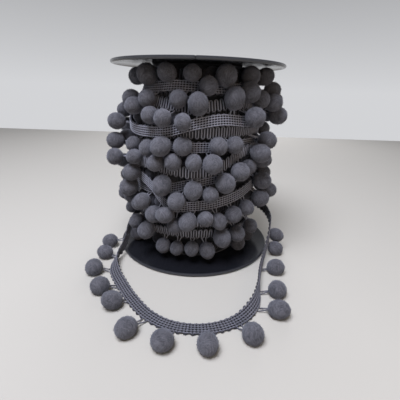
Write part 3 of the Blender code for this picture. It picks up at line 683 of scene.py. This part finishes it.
def ball_tree():
    """Puts a lumpy ball on each point, turned and sized as the point says, with fibres over it."""
    tree, given, result = add_tree("yarn balls", [
        ("Detail", "Int"), ("Lump Height", "Float"), ("Fibres", "Float"),
        ("Fibre Length", "Float"), ("Fibre Width", "Float"), ("Seed", "Int"),
        ("Finish", "Material"),
    ])
    ball = add_node(
        tree, "GeometryNodeMeshIcoSphere", {"Radius": 1.0, "Subdivisions": given.outputs["Detail"]}
    )
    size = add_node(
        tree, "GeometryNodeInputNamedAttribute", {"Name": "size"}, data_type="FLOAT_VECTOR"
    )
    turned = add_node(
        tree, "GeometryNodeInputNamedAttribute", {"Name": "turned"}, data_type="FLOAT_VECTOR"
    )
    spin = add_node(tree, "FunctionNodeEulerToRotation", {0: turned.outputs[0]})
    placed = add_node(
        tree, "GeometryNodeInstanceOnPoints",
        {
            "Points": given.outputs["Geometry"], "Instance": ball.outputs[0],
            "Rotation": spin.outputs[0], "Scale": size.outputs[0],
        },
    )
    real = add_node(tree, "GeometryNodeRealizeInstances", {0: placed.outputs[0]})
    lumps = add_node(
        tree, "ShaderNodeTexNoise", {"Scale": LUMP_SCALE, "Detail": 3.0, "Roughness": 0.6}
    )
    centred = add_node(tree, "ShaderNodeMath", {0: lumps.outputs[0], 1: 0.5}, operation="SUBTRACT")
    high = add_node(
        tree, "ShaderNodeMath", {0: centred.outputs[0], 1: given.outputs["Lump Height"]},
        operation="MULTIPLY",
    )
    normal = add_node(tree, "GeometryNodeInputNormal")
    shift = add_node(
        tree, "ShaderNodeVectorMath", {0: normal.outputs[0], "Scale": high.outputs[0]}, operation="SCALE"
    )
    lumpy = add_node(
        tree, "GeometryNodeSetPosition", {"Geometry": real.outputs[0], "Offset": shift.outputs[0]}
    )
    roots = add_node(
        tree, "GeometryNodeDistributePointsOnFaces",
        {"Mesh": lumpy.outputs[0], "Density": given.outputs["Fibres"], "Seed": given.outputs["Seed"]},
    )
    fibre = add_node(
        tree, "GeometryNodeMeshCone",
        {
            "Vertices": 3, "Radius Top": 0.0, "Radius Bottom": given.outputs["Fibre Width"],
            "Depth": given.outputs["Fibre Length"],
        },
        fill_type="NONE",
    )
    full_turn = 6.28
    lean = add_node(
        tree, "FunctionNodeRandomValue",
        {
            0: (-FIBRE_LEAN, -FIBRE_LEAN, 0), 1: (FIBRE_LEAN, FIBRE_LEAN, full_turn),
            "Seed": given.outputs["Seed"],
        },
        data_type="FLOAT_VECTOR",
    )
    leaning = add_node(tree, "FunctionNodeEulerToRotation", {0: lean.outputs[0]})
    aimed = add_node(
        tree, "FunctionNodeRotateRotation",
        {"Rotation": roots.outputs["Rotation"], "Rotate By": leaning.outputs[0]},
        rotation_space="LOCAL",
    )
    fuzz = add_node(
        tree, "GeometryNodeInstanceOnPoints",
        {"Points": roots.outputs[0], "Instance": fibre.outputs[0], "Rotation": aimed.outputs[0]},
    )
    fuzz = add_node(tree, "GeometryNodeRealizeInstances", {0: fuzz.outputs[0]})
    both = tree.nodes.new("GeometryNodeJoinGeometry")
    tree.links.new(fuzz.outputs[0], both.inputs[0])
    tree.links.new(lumpy.outputs[0], both.inputs[0])
    finished = add_node(
        tree, "GeometryNodeSetMaterial",
        {"Geometry": both.outputs[0], "Material": given.outputs["Finish"]},
    )
    tree.links.new(finished.outputs[0], result.inputs[0])
    return tree


yarn_balls = ball_tree()
ball_yarn = cut_yarn_ball("cut polyester yarn ball", "#63636a", "#29292d")


def add_balls(name, balls, seed, finish, detail=4, fibres=FIBRES_PER_BALL):
    """A piece that holds balls, each pressed a little out of round and drawn out along its stalk."""
    rng = random.Random(seed)
    mesh = bpy.data.meshes.new(name)
    mesh.from_pydata([tuple(ball.centre) for ball in balls], [], [])
    sizes = mesh.attributes.new("size", "FLOAT_VECTOR", "POINT")
    turns = mesh.attributes.new("turned", "FLOAT_VECTOR", "POINT")
    for ball, size, turned in zip(balls, sizes.data, turns.data):
        girth = [rng.uniform(*BALL_GIRTH) for _ in range(2)]
        size.vector = Vector((*girth, rng.uniform(*BALL_STRETCH))) * ball.radius
        turned.vector = Vector(ball.away).to_track_quat("Z", "Y").to_euler()
    thing = new_object(name + "_points", mesh)
    made = run_tree(thing, yarn_balls, {
        "Detail": detail, "Lump Height": LUMP_HEIGHT * 2,  # the noise runs half that each way
        "Fibres": fibres / (4 * math.pi * BALL_RADIUS ** 2), "Fibre Length": FIBRE_LENGTH,
        "Fibre Width": FIBRE_WIDTH, "Seed": seed, "Finish": finish,
    })
    bpy.data.objects.remove(thing)
    return add_piece(name, made, None)


def root_of(ball, route):
    """The spot on the tape where a ball's stalk starts, the way along the tape there, and the
    way from there into the tape: across it from either edge, or down into its outer face."""
    best = None
    for side in (-1, 0, 1):
        out = route.face * (TAPE_THICK / 2) if side == 0 else route.across * (side * TAPE_WIDTH / 2)
        starts = route.place + out
        for reach in np.arange(ball.radius, STALK_REACH, STALK_STEP):
            far = np.linalg.norm(starts - (ball.centre - ball.away * reach), axis=1)
            k = int(far.argmin())
            if best is None or far[k] < best[0]:
                best = (far[k], k, starts[k], -out[k] / np.linalg.norm(out[k]))
    _, k, spot, inward = best
    ahead = route.place[min(k + 1, len(route.place) - 1)] - route.place[max(k - 1, 0)]
    return spot, ahead / np.linalg.norm(ahead), inward


def add_stalks(name, balls, route, finish):
    """Two strands for each ball, from inside the tape's edge to inside the ball."""
    paths = []
    for ball in balls:
        spot, ahead, inward = root_of(ball, route)
        end = ball.centre - ball.away * (ball.radius * STALK_END)
        for side in (-1, 1):
            start = spot + ahead * (side * STRAND_SPREAD) + inward * STALK_ROOT
            edge = spot + ahead * (side * STRAND_SPREAD * STRAND_DRAW)
            middle = edge * 0.5 + end * 0.5 + ahead * (side * STRAND_SPREAD * 0.1)
            paths.append([start, edge, middle, end])
    thing = path_object(paths)
    thing.data.bevel_depth = STRAND_RADIUS
    thing.data.bevel_resolution = 1
    mesh = evaluated_mesh(thing)
    bpy.data.objects.remove(thing)
    height = mesh.attributes.new("height", "FLOAT", "POINT")
    height.data.foreach_set("value", [STALK_TONE] * len(mesh.vertices))
    return add_piece(name, mesh, finish)


balls = {node: balls_of(node) for node in TURNS}
for seed, node in enumerate(TURNS, 1):
    add_balls(f"balls_{node[-2:]}", balls[node], seed, ball_yarn)
    add_stalks(f"stalks_{node[-2:]}", balls[node], routes[node], tape_yarn)


# Loose length. The same trim pulled off the roll: it leaves on the right, stands on its edge,
# turns flat in front with its chains up, twists on the left and climbs back to the roll.

LOOSE_STEP = 1.0 * MM
LIFT = 0.15 * MM  # keeps the tape's lowest corner off the surface
PILE_FLOOR = 0.05 * MM  # the pile is pressed flat on the surface, at this height


class Lay(NamedTuple):
    """A place on the loose length: x and y of the tape's middle, the height of its lowest
    corner, all in mm, and the lean of its face from standing (0) to lying flat (90)."""

    x: float
    y: float
    foot: float
    lean: float


LOOSE_LENGTH = (
    Lay(60, 16, 38, 0),
    Lay(67, 3, 38, 0),
    Lay(75, -9, 35.5, 0),
    Lay(78.5, -21, 30, 2),
    Lay(76.5, -33, 20, 4),
    Lay(72.5, -44, 9, 6),
    Lay(68.5, -54, 2.5, 6),
    Lay(65, -65, 0, 5),
    Lay(61, -80, 0, 6),
    Lay(57.5, -98, 0, 14),
    Lay(52, -116, 0, 45),
    Lay(40, -131, 0, 75),
    Lay(22, -140.5, 0, 84),
    Lay(4, -143, 0, 86),
    Lay(-13, -140, 0, 86),
    Lay(-29, -131, 0, 84),
    Lay(-44, -115, 0, 82),
    Lay(-58.5, -94.5, 0, 80),
    Lay(-68, -79, 0, 64),
    Lay(-72, -67, 0.3, 40),
    Lay(-71.5, -57, 1.5, 16),
    Lay(-69.5, -48, 3.5, 0),
    Lay(-68, -38, 8, -7),
    Lay(-67.5, -25, 16, -6),
    Lay(-65, -10, 22, 0),
    Lay(-61, 4, 26, 0),
    Lay(-58.5, 17, 28, 0),
)


def loose_route():
    """The loose length's route through its listed lays."""
    table = np.array(LOOSE_LENGTH) * (MM, MM, MM, 1)
    keys = np.concatenate([[0], np.cumsum(np.linalg.norm(np.diff(table[:, :3], axis=0), axis=1))])
    at = np.arange(0, keys[-1], LOOSE_STEP)
    x, y, foot, lean = (cubic_through(keys, table[:, k], at) for k in range(4))
    foot = np.maximum(foot, LIFT)
    line = np.stack([x, y, foot], axis=1)
    tangent = np.gradient(line, at, axis=0)
    tangent /= np.linalg.norm(tangent, axis=1)[:, None]
    outward = np.stack([-tangent[:, 1], tangent[:, 0], 0 * x], axis=1)
    outward /= np.linalg.norm(outward, axis=1)[:, None]
    lean = np.radians(lean)[:, None]
    face = np.cos(lean) * outward + np.sin(lean) * np.array([0, 0, 1.0])
    face -= tangent * (face * tangent).sum(axis=1)[:, None]
    face /= np.linalg.norm(face, axis=1)[:, None]
    across = np.cross(face, tangent)
    line[:, 2] += np.abs(across[:, 2]) * TAPE_WIDTH / 2 + np.abs(face[:, 2]) * TAPE_THICK / 2
    return finished_route(line, across, face)


LOOSE_EDGES = [f"loose_edge_{k}" for k in range(1, 5)]
# A darker copy of the tape's yarn: painted shade that tones down the brighter light on the length lying
# flat.
loose_yarn_with_painted_shade = knit_yarn("crochet polyester tape, painted_shade", "#65656e", "#131316")
loose = loose_route()
loose_sheet = add_piece(
    "loose_tape_ground", ground_sheet("loose_tape_ground", loose), ground_in_painted_shade
)
loose_yarn = add_piece(
    "loose_tape_yarn", stitches("loose_tape_yarn", loose, loose_yarn_with_painted_shade, chains=True), loose_yarn_with_painted_shade,
)
loose_ball_list = [ball for node in LOOSE_EDGES for ball in balls_of(node)]
loose_balls = add_balls("loose_balls", loose_ball_list, seed=40, finish=ball_yarn)
for vertex in loose_balls.data.vertices:
    vertex.co.z = max(vertex.co.z, PILE_FLOOR)
loose_stalks = add_stalks("loose_stalks", loose_ball_list, loose, loose_yarn_with_painted_shade)
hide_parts("loose_tape", *LOOSE_EDGES)


# Inner layers. Under the outer turns the roll is more of the same trim, wound at all angles and
# pressed flat. What shows of it between the turns is its yarn and its half-sunk balls, in shade.

BARREL_STEPS, BARREL_LEVELS = 150, 90
BARREL_MARGIN = 0.05 * MM  # between its ends and the flanges
BARREL_SINK = 0.8 * MM  # how far it lies inside the wound body
BARREL_WAVE = 0.5 * MM  # how far its ridges stand out, and the troughs between them in
RIDGE_PACE = 1.1  # radians a millimetre of height, so that the ridges are 5.7 mm apart
INNER_BANDS = 12
BAND_POINTS = 361
BAND_END = 12 * MM  # from the spool's ends to the first and the last band
BAND_TILT = (1, 4)  # mm up and down on the way round, at least and at most
INNER_TRIES = 900
INNER_RADIUS = 6.9 * MM
INNER_APART = 12.5 * MM  # the least between two balls' centres
INNER_PROUD = (6 * MM, 4.5 * MM, 3 * MM)  # how far a ball stands out of the roll, tried in turn
INNER_CLEAR = 0.3 * MM  # the least between a ball and three lines along each tape
INNER_OVERLAP = 2 * MM  # how deep a ball may be pressed into an outer one
TAPE_LINES = (-0.45, 0, 0.45)  # where those lines run, as shares of the tape's width
wound = BVHTree.FromObject(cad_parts["wound_body"], bpy.context.evaluated_depsgraph_get())


def bed_radius(azimuth, height):
    """The wound body's radius at an azimuth in radians and a height."""
    out = Vector((math.sin(azimuth), -math.cos(azimuth), 0))
    hit = wound.ray_cast(out * FLANGE_RADIUS + Vector((0, 0, height)), -out)[0]
    return math.hypot(hit.x, hit.y)


def add_barrel():
    """The shaded surface under the inner bands."""
    low, high = (corner.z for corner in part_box("wound_body"))
    points, faces = [], []
    for i in range(BARREL_LEVELS):
        z = low + BARREL_MARGIN + (high - low - 2 * BARREL_MARGIN) * i / (BARREL_LEVELS - 1)
        for j in range(BARREL_STEPS):
            a = 2 * math.pi * j / BARREL_STEPS
            ridge = math.sin(z / MM * RIDGE_PACE + 2 * math.sin(3 * a))
            radius = bed_radius(a, z) - BARREL_SINK + BARREL_WAVE * ridge
            points.append((radius * math.sin(a), -radius * math.cos(a), z))
    for i in range(BARREL_LEVELS - 1):
        for j in range(BARREL_STEPS):
            k = (j + 1) % BARREL_STEPS
            faces.append((
                i * BARREL_STEPS + j, i * BARREL_STEPS + k,
                (i + 1) * BARREL_STEPS + k, (i + 1) * BARREL_STEPS + j,
            ))
    faces.append(tuple(range(BARREL_STEPS)))
    faces.append(tuple((BARREL_LEVELS - 1) * BARREL_STEPS + j for j in range(BARREL_STEPS)))
    return add_piece("inner_barrel", mesh_from("inner_barrel", points, faces), inner_yarn)


def band_route(height, tilt, phase):
    """A tilted ring that lies on the wound body."""
    at = np.radians(np.linspace(-180, 180, BAND_POINTS))
    z = height + tilt * np.cos(at - phase)
    radius = np.array([bed_radius(a, h) for a, h in zip(at, z)])
    upper = np.array([bed_radius(a, h + TAPE_WIDTH / 3) for a, h in zip(at, z)])
    lower = np.array([bed_radius(a, h - TAPE_WIDTH / 3) for a, h in zip(at, z)])
    radius = np.maximum(radius, (upper + lower) / 2) - TAPE_THICK / 4
    out = np.stack([np.sin(at), -np.cos(at), 0 * at], axis=1)
    up = np.array([0, 0, 1.0])
    slope = (upper - lower) / (TAPE_WIDTH * 2 / 3)
    place = out * radius[:, None] + up * z[:, None]
    return finished_route(place, -up - out * slope[:, None], out)


def inner_ball_list():
    """Balls half sunk in the roll, wherever the turns, their balls and each other leave room."""
    rng = random.Random(5)
    low, high = (corner.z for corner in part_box("wound_body"))
    tapes = np.concatenate([
        route.place + route.across * (TAPE_WIDTH * share)
        for route in [*(routes[node] for node in TURNS), loose] for share in TAPE_LINES
    ])
    outer = np.array([ball.centre for node in TURNS for ball in balls[node]])
    reach = np.array([ball.radius for node in TURNS for ball in balls[node]])
    found = []
    for _ in range(INNER_TRIES):
        a = rng.uniform(-math.pi, math.pi)
        z = rng.uniform(low + INNER_RADIUS, high - INNER_RADIUS)
        out = np.array([math.sin(a), -math.cos(a), 0])
        for proud in INNER_PROUD:
            centre = out * (bed_radius(a, z) + proud - INNER_RADIUS) + np.array([0, 0, z])
            to_outer = (np.linalg.norm(outer - centre, axis=1) - reach).min()
            clear = np.linalg.norm(tapes - centre, axis=1).min() > INNER_RADIUS + INNER_CLEAR
            apart = to_outer > INNER_RADIUS - INNER_OVERLAP
            alone = all(np.linalg.norm(ball.centre - centre) > INNER_APART for ball in found)
            if clear and apart and alone:
                found.append(Ball(centre, out, INNER_RADIUS))
                break
    return found


inner_yarn = knit_yarn("crochet polyester tape in shade", "#3a3a3f", "#09090a")
barrel = add_barrel()
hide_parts("wound_body")
rng = random.Random(21)
bands = []
low_band, high_band = BAND_END, SPOOL_HEIGHT - BAND_END
for k in range(INNER_BANDS):
    height = low_band + (high_band - low_band) * k / (INNER_BANDS - 1)
    tilt = rng.uniform(*BAND_TILT) * MM
    route = band_route(height, tilt, phase=rng.uniform(-3, 3))
    bands.append(stitches(f"inner_{k}", route, inner_yarn, sides=3))
add_piece("inner_bands", join_meshes("inner_bands", bands), inner_yarn)
shaded_ball_yarn = cut_yarn_ball("cut polyester yarn ball in shade", "#3e3e44", "#1c1c1f")
add_balls("inner_balls", inner_ball_list(), seed=60, finish=shaded_ball_yarn, detail=3, fibres=0)


# Setting: a plain pale floor under one wide lamp overhead, whose light the upper flange keeps off
# the top rows, with a weak warm light from low in front, one from behind and pale surroundings.

FLOOR_REACH = 0.8  # metres from the origin to each side
LEVEL_SEEN, TOP_SEEN = 0.85, 0.3  # how bright the surroundings look, level and from above
TOP_FROM = 0.45  # the sine of the elevation where they first look as from above
SURROUND_LIGHT = 0.29  # how much light they give

floor_mesh = mesh_from("floor", [
    (x * FLOOR_REACH, y * FLOOR_REACH, 0) for x, y in ((-1, -1), (1, -1), (1, 1), (-1, 1))
], [(0, 1, 2, 3)])
floor = new_object("floor", floor_mesh)
pale_floor = new_material("matt pale floor", Roughness=0.9, Base_Color=srgb("#a8a59f"))[0]
floor_mesh.materials.append(pale_floor)


def add_lamp(name, place, target, size, power, colour):
    """A square soft lamp that points at a target."""
    light = bpy.data.lights.new(name, "AREA")
    light.size = size
    light.energy = power
    light.color = srgb(colour)[:3]
    lamp = new_object(name, light)
    lamp.location = place
    lamp.rotation_euler = (Vector(target) - Vector(place)).to_track_quat("-Z", "Y").to_euler()
    lamp.visible_camera = lamp.visible_glossy = False


add_lamp("overhead lamp", (-0.2, -0.42, 1.0), (0, 0, 0.07), 0.55, 21, "#f1f4ff")
add_lamp("low front lamp", (0.35, -0.75, 0.24), (0, 0, 0.08), 0.4, 1.2, "#ffe3c0")
add_lamp("back lamp", (0.1, 0.95, 0.55), (0, 0, 0.09), 0.7, 7, "#f8f9ff")
world = bpy.data.worlds.new("surroundings")
world.use_nodes = True
surround = world.node_tree.nodes["Background"]
surround.inputs["Color"].default_value = srgb("#e2e3e6")
looking = add_node(world.node_tree, "ShaderNodeTexCoord").outputs["Generated"]
looking_up = add_node(world.node_tree, "ShaderNodeSeparateXYZ", {0: looking}).outputs[2]
seen = add_node(
    world.node_tree, "ShaderNodeMapRange",
    {"Value": looking_up, "From Max": TOP_FROM, "To Min": LEVEL_SEEN, "To Max": TOP_SEEN},
)
seen_by = add_node(world.node_tree, "ShaderNodeLightPath")
strength = add_node(
    world.node_tree, "ShaderNodeMapRange",
    {
        "Value": seen_by.outputs["Is Diffuse Ray"], "To Min": seen.outputs[0],
        "To Max": SURROUND_LIGHT,
    },
)
world.node_tree.links.new(strength.outputs[0], surround.inputs["Strength"])
bpy.context.scene.world = world
bpy.context.scene.view_settings.view_transform = "Standard"


# Camera: the eye's place and its turns, fitted to both flanges' outlines in the photograph. It
# stands 31 cm in front of the spool's axis and looks down by 21 degrees.

EYE = Vector((8.8 * MM, -308.1 * MM, 159.9 * MM))
TURN, TILT, ROLL = -0.01125, 0.35806, 0.03138  # radians: to the right, down, clockwise
ahead = Vector((math.sin(TURN), math.cos(TURN), 0))
side = Vector((math.cos(TURN), -math.sin(TURN), 0))
up = Vector((0, 0, 1))
sight = ahead * math.cos(TILT) - up * math.sin(TILT)
crown = ahead * math.sin(TILT) + up * math.cos(TILT)
level = side * math.cos(ROLL) + crown * math.sin(ROLL)
upright = crown * math.cos(ROLL) - side * math.sin(ROLL)
lens = bpy.data.cameras.new("camera")
lens.sensor_width = 36  # mm, as is the focal length
lens.lens = 27
camera = new_object("camera", lens)
camera.matrix_world = Matrix.Translation(EYE) @ Matrix((level, upright, -sight)).transposed().to_4x4()
bpy.context.scene.camera = camera
